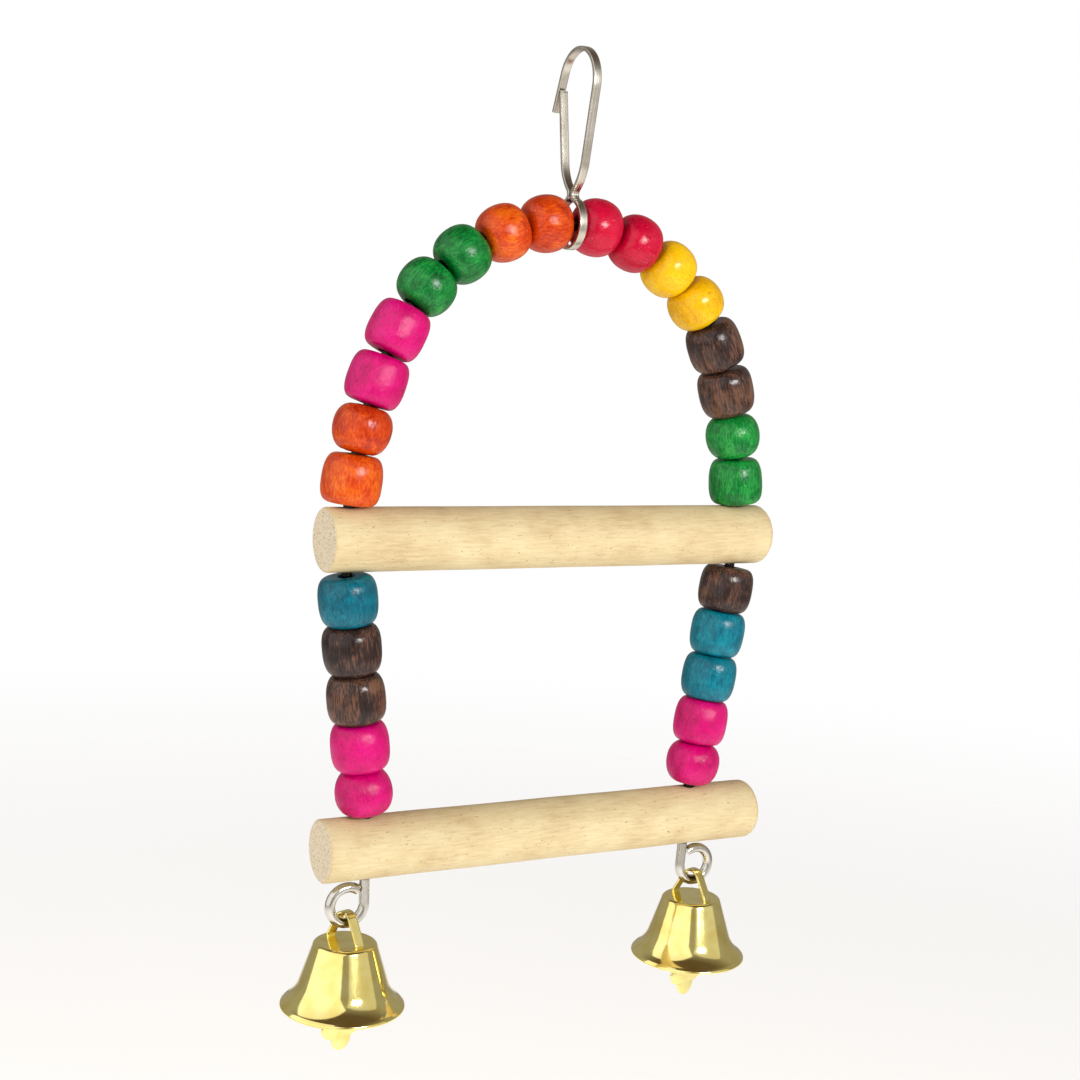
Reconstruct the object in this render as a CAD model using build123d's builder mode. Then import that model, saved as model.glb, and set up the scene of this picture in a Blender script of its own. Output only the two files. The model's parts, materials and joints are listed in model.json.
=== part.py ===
from build123d import *
import math
import os

# A hanging bird swing. A bent wire arch strung with wooden beads carries two dowel perches, a spring
# clip bent from metal strip hangs it from a cage bar, and a small bell hangs from an eye at each foot.
# Millimetres, +Z up. The arch and the perches lie in the XZ plane, and the front faces -Y.
# The origin is the axis of the cage bar's seat in the top bend of the clip.

# Wire arch, sizes on the wire's axis
wire_diameter = 2.0
crown_radius = 38.5
shoulder_radius = 88.0
shoulder_angle = 23.5  # degrees above level, where the crown bend runs into the shoulder bend
leg_lean = 7.7  # degrees that each leg leans in towards its foot
foot_lean = 2.0  # degrees, through the lower perch and below
foot_radius = 4.0  # bend between the leg and the foot
eye_radius = 3.45
eye_turn = 306.0  # degrees of wire in the eye at each foot
eye_gap = 0.6  # from the lower perch to the eye under it

# Wooden beads, strung with a little play
bead_diameter = 11.2
bore_play = 1.0  # between the wire and a bead's bore, on the diameter
bore_chamfer = 0.4
bead_play = 0.15
round_length = 8.5
round_end = 5.0  # diameter of the flat end
round_band = 0.6  # straight band round the middle, along the bead
barrel_length = 9.1
barrel_end = 6.6
barrel_band = 3.0
clip_gap = 1.6  # between the two top beads, where the clip's eye sits

# Perches, cut from dowel
perch_diameter = 12.0
perch_overhang = 5.4  # past the wire, on the upper perch; the lower one is as long
perch_rounding = 0.9
perch_play = 0.6  # between the wire and the perch's bore, on the diameter
upper_perch_offset = 1.0  # each dowel sits a little to the right on the wire
lower_perch_offset = 3.0

# Spring clip, bent from flat strip in the YZ plane, sizes on the strip's inner face
strip_width = 1.6
strip_thickness = 0.8
seat_radius = 5.9
clip_drop = 25.9  # from the bar's axis down to the wire's axis at the crown of the arch
clip_play = 0.4  # between the clip's eye and the top beads
neck_gap = 0.5
neck_radius = 1.65
hip_radius = 9.0  # where a side turns in to the neck
side_taper = 10.0  # degrees
tip_flare = 20.0  # degrees
latch_gap = 0.25  # between the tip and the spring leg behind it
latch_overlap = 3.6
hinge_gap = 0.5  # along the neck, between the clip and its spring leg

# Bells: shell, strap and clapper
bell_height = 12.9
bell_wall = 0.5
bell_crown_radius = 5.9
bell_crown_rounding = 0.9
bell_waist_radius = 8.5
bell_waist_drop = 8.0
bell_mouth_radius = 11.8
bell_lip = 0.9  # straight band at the mouth
crown_drop = 3.6  # from the axis that the bell hangs on to its crown
strap_width = 2.0
strap_thickness = 0.5
strap_inset = 0.3  # from the flat of the crown to the strap's slots
strap_seam = 0.2  # between the cross bar's end and the leg beside it
strap_play = 0.9  # round the wire
strap_turn = 16.0  # degrees about the bell's axis, from square across the wire
strap_bend = 0.5  # inner radius of the strap's corners
slot_play = 0.15
clapper_thickness = 0.6
clapper_bore_play = 0.7  # round the strap's cross bar, on the diameter
clapper_rim = 1.0
clapper_stem = 2.6
clapper_play = 0.35  # under the crown
clapper_show = 8.6  # below the mouth
lobe_radius = 2.3
lobe_spread = 2.4
lobe_rise = 2.6  # side lobes above the bottom lobe

os.makedirs("parts", exist_ok=True)

bead_bore = wire_diameter + bore_play
bead_kinds = {
    "round": (round_length, round_end, round_band),
    "barrel": (barrel_length, barrel_end, barrel_band),
}
arch_beads = ["round", "round", "round", "round", "barrel", "barrel", "round", "barrel"]
leg_beads = ["barrel", "barrel", "barrel", "barrel", "round"]
sides = {"right": 1, "left": -1}


def save(part, name):
    """Labels a finished piece and writes it under its own name."""
    part.label = name
    export_step(part, f"parts/{name}.step")


def polar(centre, radius, degrees):
    """The point at an angle on a circle, as a pair."""
    angle = math.radians(degrees)
    return (centre[0] + radius * math.cos(angle), centre[1] + radius * math.sin(angle))


def bearing(start, end):
    """The direction from one point to another, in degrees."""
    return math.degrees(math.atan2(end[1] - start[1], end[0] - start[0]))


# Stations along the wire, as lengths from the crown of the arch

crown_run = crown_radius * math.radians(90 - shoulder_angle)
shoulder_run = shoulder_radius * math.radians(shoulder_angle + leg_lean)


def bend_radius(station):
    """The wire's bend radius at a station; the leg is straight."""
    if station < crown_run:
        return crown_radius
    if station < crown_run + shoulder_run:
        return shoulder_radius
    return math.inf


def string_beads(kinds, start):
    """Strings beads from a station on. Their ends meet on the inside of a bend, so each takes up more
    wire than its length. Returns the beads' stations and the station where the string ends."""
    stations = []
    for kind in kinds:
        length, end_diameter, _ = bead_kinds[kind]
        room = length / (1 - end_diameter / 2 / bend_radius(start + length / 2)) + bead_play
        stations.append(start + room / 2)
        start += room
    return stations, start


lean_slack = barrel_end / 2 * math.tan(math.radians(leg_lean)) + bead_play
perch_depth = perch_diameter / 2 / math.cos(math.radians(leg_lean))
arch_stations, arch_end = string_beads(arch_beads, clip_gap / 2)
upper_station = arch_end + bead_play + perch_depth
leg_stations, leg_end = string_beads(leg_beads, upper_station + perch_depth + lean_slack)
leg_run = leg_end - crown_run - shoulder_run
foot_run = foot_radius * math.radians(leg_lean - foot_lean)
foot_stretch = 1 / math.cos(math.radians(foot_lean))
lower_station = leg_end + lean_slack + perch_diameter / 2 * foot_stretch
eye_rise = eye_radius * (1 - math.sin(math.radians(foot_lean)))  # from the eye's start to its top
eye_drop = perch_diameter / 2 + eye_gap + wire_diameter / 2 + eye_rise  # from the perch's axis
eye_station = lower_station + eye_drop * foot_stretch

# Wire arch, one half from its crown to its eye

with BuildLine(Plane.XZ) as half_arch:
    crown_bend = JernArc((0, -clip_drop), (1, 0), crown_radius, shoulder_angle - 90)
    shoulder_bend = JernArc(crown_bend @ 1, crown_bend % 1, shoulder_radius, -shoulder_angle - leg_lean)
    leg = Line(shoulder_bend @ 1, shoulder_bend @ 1 + shoulder_bend % 1 * leg_run)
    ankle = JernArc(leg @ 1, leg % 1, foot_radius, leg_lean - foot_lean)
    foot = Line(ankle @ 1, ankle @ 1 + ankle % 1 * (eye_station - leg_end - foot_run))
    eye = JernArc(foot @ 1, foot % 1, eye_radius, eye_turn)
half_wire = half_arch.wire()


def on_wire(station, side):
    """The wire's point and direction at a station, on one side of the arch."""
    point = half_wire.position_at(station, position_mode=PositionMode.LENGTH)
    direction = half_wire.tangent_at(station, position_mode=PositionMode.LENGTH)
    return Vector(side * point.X, 0, point.Z), Vector(side * direction.X, 0, direction.Z)


with BuildPart() as arch_wire:
    with BuildSketch(Plane(half_wire @ 0, z_dir=half_wire % 0)):
        Circle(wire_diameter / 2)
    sweep(path=half_wire)
    mirror(about=Plane.YZ)
save(arch_wire.part, "arch_wire")

# Perches, bored where the wire goes through

perch_length = 2 * (on_wire(upper_station, 1)[0].X + perch_overhang)
for name, station, shift in (
    ("upper_perch", upper_station, upper_perch_offset),
    ("lower_perch", lower_station, lower_perch_offset),
):
    height = on_wire(station, 1)[0].Z
    with BuildPart() as perch:
        with BuildSketch(Plane.YZ.offset(shift - perch_length / 2)):
            with Locations((0, height)):
                Circle(perch_diameter / 2)
        extrude(amount=perch_length)
        fillet(perch.edges().filter_by(GeomType.CIRCLE), perch_rounding)
        for side in sides.values():
            point, direction = on_wire(station, side)
            with BuildSketch(Plane(point, z_dir=direction)):
                Circle((wire_diameter + perch_play) / 2)
            extrude(amount=perch_diameter, both=True, mode=Mode.SUBTRACT)
    save(perch.part, name)

# Beads, each turned about the wire's direction at its own station


def make_bead(name, kind, station, side):
    """Makes one bead: bored, with small flat ends, round shoulders and a straight band between them."""
    length, end_diameter, band = bead_kinds[kind]
    half = length / 2
    bore = bead_bore / 2
    shoulder = (band / 2, bead_diameter / 2)
    far_shoulder = (-band / 2, bead_diameter / 2)
    point, direction = on_wire(station, side)
    with BuildPart() as bead:
        with BuildSketch(Plane(point, x_dir=direction, z_dir=(0, -1, 0))):
            with BuildLine():
                TangentArc(far_shoulder, (-half, end_diameter / 2), tangent=(-1, 0))
                Line(far_shoulder, shoulder)
                TangentArc(shoulder, (half, end_diameter / 2), tangent=(1, 0))
                Polyline(
                    (half, end_diameter / 2),
                    (half, bore + bore_chamfer),
                    (half - bore_chamfer, bore),
                    (bore_chamfer - half, bore),
                    (-half, bore + bore_chamfer),
                    (-half, end_diameter / 2),
                )
            make_face()
        revolve(axis=Axis(point, direction))
    save(bead.part, name)


for side_name, side in sides.items():
    for number, kind in enumerate(arch_beads):
        make_bead(f"{side_name}_arch_bead_{number + 1}", kind, arch_stations[number], side)
    for number, kind in enumerate(leg_beads):
        make_bead(f"{side_name}_leg_bead_{number + 1}", kind, leg_stations[number], side)

# Spring clip. In its plane, Y runs to the right and Z up: the plain side is on the left, and on the
# right the spring leg closes behind the tip. Both sides touch the bar's seat and taper to the neck.


def top_bead_reach():
    """How far a top bead stands out from the wire's axis under the edge of the strip. The bead leans with
    the wire's bend, which brings its end further under the strip on the inside of the arch."""
    rise = (bead_diameter - round_end) / 2
    run = (round_length - round_band) / 2
    bulge = (rise**2 + run**2) / 2 / rise
    lean = arch_stations[0] / crown_radius
    reach = round_end / 2
    for _ in range(8):
        overlap = strip_width / 2 - clip_gap / 2 + reach * lean
        reach = bead_diameter / 2 - bulge + math.sqrt(bulge**2 - (run - overlap) ** 2)
    return reach


seat = (0, 0)
wire_seat = (0, -clip_drop)
clip_eye_radius = top_bead_reach() + clip_play
neck_offset = neck_gap / 2 + neck_radius
neck = (neck_offset, math.sqrt((clip_eye_radius + neck_radius) ** 2 - neck_offset**2) - clip_drop)
far_neck = (-neck[0], neck[1])
taper = math.radians(side_taper)
outward = Vector(math.cos(taper), -math.sin(taper))
downward = Vector(-math.sin(taper), -math.cos(taper))
hip_line = outward * (seat_radius - hip_radius)
neck_aside = (Vector(neck) - hip_line).dot(outward)
hip_run = (Vector(neck) - hip_line).dot(downward) - math.sqrt((hip_radius + neck_radius) ** 2 - neck_aside**2)
hip = (hip_line.X + downward.X * hip_run, hip_line.Y + downward.Y * hip_run)
far_hip = (-hip[0], hip[1])
hip_turn = 180 - side_taper - bearing(neck, hip)
neck_turn = bearing(neck, wire_seat) + 360 - bearing(neck, hip)
eye_half_turn = 90 + bearing(wire_seat, neck)
split = 180 + math.degrees(hinge_gap / neck_radius)  # the spring leg begins at the neck's narrowest point

flare = math.radians(tip_flare)
flare_room = seat_radius - latch_gap - (seat_radius + strip_thickness) * math.cos(flare) / math.cos(taper)
latch_height = flare_room / (math.tan(taper) * math.cos(flare) + math.sin(flare))
tip_run = (seat_radius * math.sin(flare) - latch_height + latch_overlap) / math.cos(flare)
tip_slope = Vector(math.sin(flare), -math.cos(flare))
spring_run = seat_radius * math.sin(taper) + latch_height  # above the point where the side leaves the seat


def shifted(point, slope, run):
    """The point that lies a run away along a slope, as a pair."""
    return (point[0] + slope.X * run, point[1] + slope.Y * run)


def clip_face(thick):
    """Draws the fixed strip's face, at a thickness out from its inner face: from the tip over the bar's
    seat, down the plain side, through the neck and round the wire to the neck again."""
    tip_root = polar(seat, seat_radius + thick, tip_flare)
    Line(shifted(tip_root, tip_slope, tip_run), tip_root)
    CenterArc(seat, seat_radius + thick, tip_flare, 180 + side_taper - tip_flare)
    Line(
        polar(seat, seat_radius + thick, 180 + side_taper),
        polar(far_hip, hip_radius + thick, 180 + side_taper),
    )
    CenterArc(far_hip, hip_radius + thick, 180 + side_taper, hip_turn)
    CenterArc(far_neck, neck_radius - thick, 180 - bearing(neck, hip), -neck_turn)
    CenterArc(wire_seat, clip_eye_radius + thick, 270 - eye_half_turn, 2 * eye_half_turn)
    CenterArc(neck, neck_radius - thick, split, bearing(neck, wire_seat) + 360 - split)


def strip_end(start, slope):
    """Draws the square cut across the strip's end."""
    Line(start, shifted(start, slope, strip_thickness))


with BuildPart() as clip:
    with BuildSketch(Plane.YZ):
        with BuildLine():
            clip_face(0)
            clip_face(strip_thickness)
            tip_end = shifted(polar(seat, seat_radius, tip_flare), tip_slope, tip_run)
            strip_end(tip_end, Vector(math.cos(flare), math.sin(flare)))
            strip_end(polar(neck, neck_radius, split), -Vector(*polar((0, 0), 1, split)))
        make_face()
    extrude(amount=strip_width / 2, both=True)
save(clip.part, "clip_strip")


def spring_face(thick):
    """Draws the spring leg's face, at a thickness out from its inner face, up from the neck."""
    CenterArc(neck, neck_radius - thick, bearing(neck, hip), 180 - bearing(neck, hip))
    CenterArc(hip, hip_radius + thick, -side_taper - hip_turn, hip_turn)
    top = shifted(polar(seat, seat_radius + thick, -side_taper), downward, -spring_run)
    Line(polar(hip, hip_radius + thick, -side_taper), top)


with BuildPart() as spring_leg:
    with BuildSketch(Plane.YZ):
        with BuildLine():
            spring_face(0)
            spring_face(strip_thickness)
            strip_end(shifted(polar(seat, seat_radius, -side_taper), downward, -spring_run), outward)
            strip_end(polar(neck, neck_radius, 180), Vector(1, 0))
        make_face()
    extrude(amount=strip_width / 2, both=True)
save(spring_leg.part, "clip_spring_leg")

# Bells. Each hangs on the lowest point of the wire's eye, and its clapper on the strap's cross bar. In
# the strap's plane, Y runs to the right, Z up, and the middle is the axis that the bell hangs on.

eye_centre = eye.arc_center
clapper_bore = math.hypot(strap_width, strap_thickness) + clapper_bore_play
pivot_drop = crown_drop + bell_wall + clapper_play + clapper_rim + clapper_bore / 2
clapper_reach = crown_drop + bell_height + clapper_show - pivot_drop
hanger = (0, 0)
hanger_radius = wire_diameter / 2 + strap_play
strap_inside = bell_crown_radius - bell_crown_rounding - strap_inset - slot_play - strap_thickness
strap_middle = strap_inside + strap_thickness / 2
bar_top = strap_thickness / 2 - pivot_drop
bar_end = strap_seam - strap_inside
strap_foot = bar_top - strap_thickness
knee = (strap_inside - strap_bend, slot_play - crown_drop)
heel = (knee[0], bar_top + strap_bend)
knee_slope = math.acos((hanger_radius - strap_bend) / math.dist(hanger, knee))
splay = bearing(hanger, knee) + math.degrees(knee_slope)
bell_way = Vector(1, 0, 0).rotate(Axis.Z, strap_turn)  # across the strap
bar_way = Vector(0, 1, 0).rotate(Axis.Z, strap_turn)  # along its cross bar, to the back


def strap_face(thick):
    """Draws the strap's face, at a thickness out from its inner face: over the wire, out to a knee above
    the crown, down through the crown and back along the cross bar. The other leg ends beside the bar."""
    bend = strap_bend + thick
    far_knee = (-knee[0], knee[1])
    CenterArc(hanger, hanger_radius + thick, splay, 180 - 2 * splay)
    Line(polar(hanger, hanger_radius + thick, splay), polar(knee, bend, splay))
    CenterArc(knee, bend, 0, splay)
    Line(polar(knee, bend, 0), polar(heel, bend, 0))
    CenterArc(heel, bend, -90, 90)
    Line(polar(heel, bend, -90), (bar_end, bar_top - thick))
    Line(polar(hanger, hanger_radius + thick, 180 - splay), polar(far_knee, bend, 180 - splay))
    CenterArc(far_knee, bend, 180 - splay, splay)
    Line(polar(far_knee, bend, 180), (-strap_inside - thick, strap_foot))


def make_bell(side_name, side):
    """Makes one bell's shell, strap and clapper, under the eye on one side."""
    hang = Vector(side * eye_centre.X, 0, eye_centre.Z - eye_radius)
    facing = Plane(hang, x_dir=bell_way, z_dir=-bar_way)
    across = Plane(hang, x_dir=bar_way, z_dir=bell_way)

    crown = -crown_drop
    mouth = crown - bell_height
    with BuildPart() as shell:
        with BuildSketch(facing):
            with BuildLine():
                top = Line((0, crown), (bell_crown_radius, crown))
                wall = Line(top @ 1, (bell_waist_radius, crown - bell_waist_drop))
                flare = TangentArc(wall @ 1, (bell_mouth_radius, mouth + bell_lip), tangent=wall % 1)
                Line(flare @ 1, (bell_mouth_radius, mouth))
                offset(amount=bell_wall, side=Side.RIGHT)
            make_face()
        revolve(axis=Axis(hang, (0, 0, 1)))
        rims = shell.edges().filter_by(GeomType.CIRCLE).sort_by(SortBy.RADIUS)
        crown_rims = rims.group_by(Axis.Z)[-1]
        fillet(crown_rims, bell_crown_rounding)
        with BuildSketch(Plane(hang, x_dir=bell_way)):
            with Locations((0, strap_middle), (0, -strap_middle)):
                Rectangle(strap_width + 2 * slot_play, strap_thickness + 2 * slot_play)
        extrude(amount=crown - bell_wall * 2, mode=Mode.SUBTRACT)
    save(shell.part, f"{side_name}_bell_shell")

    with BuildPart() as strap:
        with BuildSketch(across):
            with BuildLine():
                strap_face(0)
                strap_face(strap_thickness)
                Line((bar_end, bar_top), (bar_end, bar_top - strap_thickness))
                Line((-strap_inside, strap_foot), (-strap_inside - strap_thickness, strap_foot))
            make_face()
        extrude(amount=strap_width / 2, both=True)
    save(strap.part, f"{side_name}_bell_strap")

    bottom = clapper_reach - lobe_radius
    side_lobes = lobe_rise - bottom
    with BuildPart() as clapper:
        with BuildSketch(facing):
            with Locations((0, -pivot_drop)):
                Circle(clapper_bore / 2 + clapper_rim)
                with Locations((0, -bottom / 2)):
                    Rectangle(clapper_stem, bottom)
                with Locations((0, -bottom), (lobe_spread, side_lobes), (-lobe_spread, side_lobes)):
                    Circle(lobe_radius)
                Circle(clapper_bore / 2, mode=Mode.SUBTRACT)
        extrude(amount=clapper_thickness / 2, both=True)
    save(clapper.part, f"{side_name}_bell_clapper")


for side_name, side in sides.items():
    make_bell(side_name, side)

hang_height = eye_centre.Z - eye_radius
print(f"upper perch at {on_wire(upper_station, 1)[0]}, lower perch at {on_wire(lower_station, 1)[0]}")
print(f"eye centre {eye_centre}, bells hang at {hang_height:.3f}")
print(f"clappers pivot at {hang_height - pivot_drop:.3f}")
print(f"spring leg turns about Y {neck[0]:.3f}, Z {neck[1]:.3f}; perches {perch_length:.1f} long")
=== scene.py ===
"""A hanging bird swing, dressed for its studio picture.

A bent wire arch strung with dyed wooden beads carries two dowel perches. A spring clip hangs it up, and a
small bell hangs from the eye at each foot. Every piece is a surface worked out on a grid, put where the
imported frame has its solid. Metres, +Z up, the arch in the XZ plane and the front facing -Y.
"""

import json
import logging
import math
from collections.abc import Callable, Sequence
from dataclasses import dataclass, replace
from enum import Enum
from typing import Any, ClassVar

import bmesh
import bpy
import numpy as np
from mathutils import Matrix, Vector

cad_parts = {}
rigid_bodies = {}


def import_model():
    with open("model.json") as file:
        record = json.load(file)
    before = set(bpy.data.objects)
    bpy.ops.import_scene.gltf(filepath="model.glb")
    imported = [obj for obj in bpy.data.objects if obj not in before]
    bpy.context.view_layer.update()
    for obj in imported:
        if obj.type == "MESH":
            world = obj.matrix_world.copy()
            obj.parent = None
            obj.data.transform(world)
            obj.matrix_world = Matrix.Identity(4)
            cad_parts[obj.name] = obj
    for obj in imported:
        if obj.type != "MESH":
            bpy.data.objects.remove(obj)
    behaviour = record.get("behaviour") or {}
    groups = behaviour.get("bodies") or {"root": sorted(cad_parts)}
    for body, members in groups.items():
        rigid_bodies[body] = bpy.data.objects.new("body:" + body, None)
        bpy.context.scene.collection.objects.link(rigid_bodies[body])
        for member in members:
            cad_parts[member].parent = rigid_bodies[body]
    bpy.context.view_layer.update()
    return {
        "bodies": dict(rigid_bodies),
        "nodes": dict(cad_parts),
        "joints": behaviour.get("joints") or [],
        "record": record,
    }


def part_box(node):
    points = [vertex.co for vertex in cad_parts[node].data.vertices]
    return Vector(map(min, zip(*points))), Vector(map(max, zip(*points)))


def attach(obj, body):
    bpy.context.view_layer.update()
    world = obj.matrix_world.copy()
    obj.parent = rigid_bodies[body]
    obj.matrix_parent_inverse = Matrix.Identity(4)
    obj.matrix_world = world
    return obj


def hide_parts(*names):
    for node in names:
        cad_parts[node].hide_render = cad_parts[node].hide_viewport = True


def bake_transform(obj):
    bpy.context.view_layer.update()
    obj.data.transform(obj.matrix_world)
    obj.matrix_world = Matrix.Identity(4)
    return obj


LOG = logging.getLogger("bird_swing")
MM = 0.001

ALONG = np.array([1.0, 0.0, 0.0])
FRONT = np.array([0.0, -1.0, 0.0])
UP = np.array([0.0, 0.0, 1.0])
SIDES = {"left": -1, "right": 1}

# Sockets of a mix node, by number: those for values and for colours share their names
MIX_SHARE = 0
VALUE_A, VALUE_B, VALUE_MIXED = 2, 3, 0
COLOUR_A, COLOUR_B, COLOUR_MIXED = 6, 7, 2

# Where the rows of a turned face stop short of the axis, as a share or in millimetres
NEAR_AXIS = 0.02

# How square the edges of cut strip are, as the power of a superellipse
STRIP_SQUARENESS = 7.0


# Colours and shader nodes


def linear(code: str) -> tuple[float, float, float, float]:
    """Turns an sRGB colour into linear light.

    Args:
        code: The colour as a hash and six hex digits.

    Returns:
        Red, green, blue and an alpha of one.
    """
    channels = [int(code[place : place + 2], 16) / 255 for place in (1, 3, 5)]
    red, green, blue = (c / 12.92 if c <= 0.04045 else ((c + 0.055) / 1.055) ** 2.4 for c in channels)
    return (red, green, blue, 1.0)


def add_node(
    tree: bpy.types.NodeTree,
    kind: str,
    inputs: dict[str | int, Any] | None = None,
    stops: Sequence[tuple[float, str]] = (),
    **settings: Any,
) -> bpy.types.Node:
    """Adds one shader node with its settings, values and links.

    Args:
        tree: The tree that it joins.
        kind: Its type, without the ShaderNode prefix.
        inputs: A value for each socket, or what to link to it: an output, or a node for its first output.
        stops: Places and sRGB colours along a colour ramp, of which the outer two come first.
        settings: The node's own properties.

    Returns:
        The node.
    """
    node = tree.nodes.new("ShaderNode" + kind)
    for key, value in settings.items():
        setattr(node, key, value)
    for key, value in (inputs or {}).items():
        source = value.outputs[0] if isinstance(value, bpy.types.Node) else value
        if isinstance(source, bpy.types.NodeSocket):
            tree.links.new(source, node.inputs[key])
        else:
            node.inputs[key].default_value = source
    for number, (place, code) in enumerate(stops):
        ramp = node.color_ramp.elements
        stop = ramp[number] if number < 2 else ramp.new(place)
        stop.position = place
        stop.color = linear(code)
    return node


def new_material(name: str) -> tuple[bpy.types.Material, bpy.types.NodeTree]:
    """Makes an empty node material and returns it with its tree."""
    material = bpy.data.materials.new(name)
    material.use_nodes = True
    material.node_tree.nodes.clear()
    return material, material.node_tree


def per_mm(*sizes: float) -> tuple[float, ...]:
    """Turns the sizes of a pattern, in millimetres, into its scale on millimetre coordinates."""
    return tuple(1 / size for size in sizes)


# Finishes


class Finish:
    """What a surface is made of, and how. Its material is named after both, and made once."""

    MADE: ClassVar[str]
    slot: str

    def material(self) -> bpy.types.Material:
        """Finds the finish's material, or builds it if it isn't there yet.

        Returns:
            The material.
        """
        name = f"{self.MADE}_{self.slot}"
        material = bpy.data.materials.get(name)
        if material is None:
            material, tree = new_material(name)
            shader = add_node(tree, "BsdfPrincipled", self.surface(tree))
            add_node(tree, "OutputMaterial", {"Surface": shader})
        return material

    def surface(self, tree: bpy.types.NodeTree) -> dict[str | int, Any]:
        """Builds the patterns of the finish.

        Args:
            tree: The material's tree.

        Returns:
            What goes into the shader's sockets.
        """
        raise NotImplementedError


@dataclass(frozen=True)
class DyedWood(Finish):
    """Turned bead wood, dipped in dye and tumbled with a clear lacquer.

    The dye sinks in unevenly, so the eye sees mottled tones, darker pores along the grain and, over
    them, the soft highlight of the lacquer, broken by the raised grain.

    Attributes:
        slot: The record's material slot, which also names the material.
        light: Colour where the wood took little dye.
        body: The colour at large.
        deep: Colour where it took most.
        pore: Colour in the open pores.
        contrast: How strongly light and deep grain show, from 0 to 1.
        mottle: Size of the patches of uneven dye, in millimetres.
        fibre: Length of the fibres along the grain, in millimetres.
        lacquer: Roughness of the clear coat.
        relief: Height of the raised grain under the coat, in millimetres.
    """

    slot: str
    light: str
    body: str
    deep: str
    pore: str
    contrast: float = 0.5
    mottle: float = 3.5
    fibre: float = 1.5
    lacquer: float = 0.1
    relief: float = 0.07

    MADE = "dyed_lacquered"
    FIBRE_WIDTH = 0.34  # millimetres
    CRINKLE = 0.7
    PORE = (0.26, 0.26, 0.9)  # across and along the grain
    PATCHES = 0.45  # share of the colour that the patches decide, beside the fibres
    PORE_DEPTH = 0.6  # beside the fibres' height

    def surface(self, tree: bpy.types.NodeTree) -> dict[str | int, Any]:
        """Builds dye, pores and raised grain, on coordinates that lie along each bead.

        Args:
            tree: The material's tree.

        Returns:
            What goes into the shader's sockets.
        """
        grain = add_node(tree, "Attribute", attribute_name="grain").outputs["Vector"]
        tone = add_node(tree, "Attribute", attribute_name="tone").outputs["Fac"]
        fibre = per_mm(self.FIBRE_WIDTH, self.FIBRE_WIDTH, self.fibre)
        along = add_node(tree, "Mapping", {"Vector": grain, "Scale": fibre})
        fibres = add_node(
            tree,
            "TexNoise",
            {"Vector": along, "Scale": 1.0, "Detail": 5.0, "Roughness": 0.62, "Distortion": 0.6},
        )
        crinkles = add_node(
            tree,
            "TexNoise",
            {"Vector": grain, "Scale": 1 / self.CRINKLE, "Detail": 2.0, "Roughness": 0.5, "Distortion": 0.8},
        )
        patches = add_node(
            tree,
            "TexNoise",
            {"Vector": grain, "Scale": 1 / self.mottle, "Detail": 3.0, "Roughness": 0.55, "Distortion": 0.4},
        )
        taken = add_node(
            tree, "Mix", {MIX_SHARE: self.PATCHES, VALUE_A: fibres, VALUE_B: patches}, data_type="FLOAT"
        )
        shifted = add_node(tree, "Math", {0: taken, 1: tone}, operation="ADD")
        spread = 0.24 - 0.13 * self.contrast
        dye = add_node(
            tree,
            "ValToRGB",
            {"Fac": shifted},
            stops=((0.5 - spread, self.deep), (0.5 + spread, self.light), (0.5, self.body)),
        )
        pore_map = add_node(tree, "Mapping", {"Vector": grain, "Scale": per_mm(*self.PORE)})
        pores = add_node(
            tree, "TexNoise", {"Vector": pore_map, "Scale": 1.0, "Detail": 2.0, "Roughness": 0.5}
        )
        pits = add_node(
            tree, "MapRange", {"Value": pores, "From Min": 0.64, "From Max": 0.74, "To Max": 0.75}
        )
        colour = add_node(
            tree, "Mix", {MIX_SHARE: pits, COLOUR_A: dye, COLOUR_B: linear(self.pore)}, data_type="RGBA"
        )
        raised = add_node(tree, "Math", {0: crinkles, 1: fibres}, operation="ADD")
        height = add_node(tree, "Math", {0: pits, 1: -self.PORE_DEPTH, 2: raised}, operation="MULTIPLY_ADD")
        bump = add_node(tree, "Bump", {"Height": height, "Strength": 0.8, "Distance": self.relief * MM})
        rough = add_node(
            tree,
            "MapRange",
            {"Value": fibres, "From Min": 0.3, "From Max": 0.7, "To Min": 0.4, "To Max": 0.56},
        )
        return {
            "Base Color": colour.outputs[COLOUR_MIXED],
            "Roughness": rough,
            "IOR": 1.5,
            "Specular IOR Level": 0.0,
            "Normal": bump,
            "Coat Weight": 0.6,
            "Coat Roughness": self.lacquer,
            "Coat IOR": 1.5,
            "Coat Normal": bump,
        }


class Dye(Enum):
    """The bead colours."""

    ORANGE = DyedWood("orange_wood", "#E47214", "#CC430A", "#A12104", "#751803", 0.65, 3.0, 1.2)
    PINK = DyedWood("pink_wood", "#DC1286", "#CA0068", "#9C004A", "#740036", 0.3, 4.0, 0.8, 0.1, 0.11)
    GREEN = DyedWood("green_wood", "#28993E", "#05702C", "#024419", "#012C10", 0.75, 2.6, 1.6)
    RED = DyedWood("red_wood", "#CA133A", "#BB042E", "#8A001F", "#D84A71", 0.4, 4.0, 1.0, 0.1, 0.04)
    YELLOW = DyedWood("yellow_wood", "#F8CE18", "#E8B40A", "#CC9004", "#845208", 0.4, 4.5, 1.2, 0.14, 0.03)
    BROWN = DyedWood("brown_wood", "#6F4C3A", "#322320", "#1D1514", "#0E0908", 0.8, 4.5, 3.0, 0.12, 0.04)
    TEAL = DyedWood("teal_wood", "#0B8593", "#02677A", "#014657", "#012D3B", 0.65, 3.2, 1.2)


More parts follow.
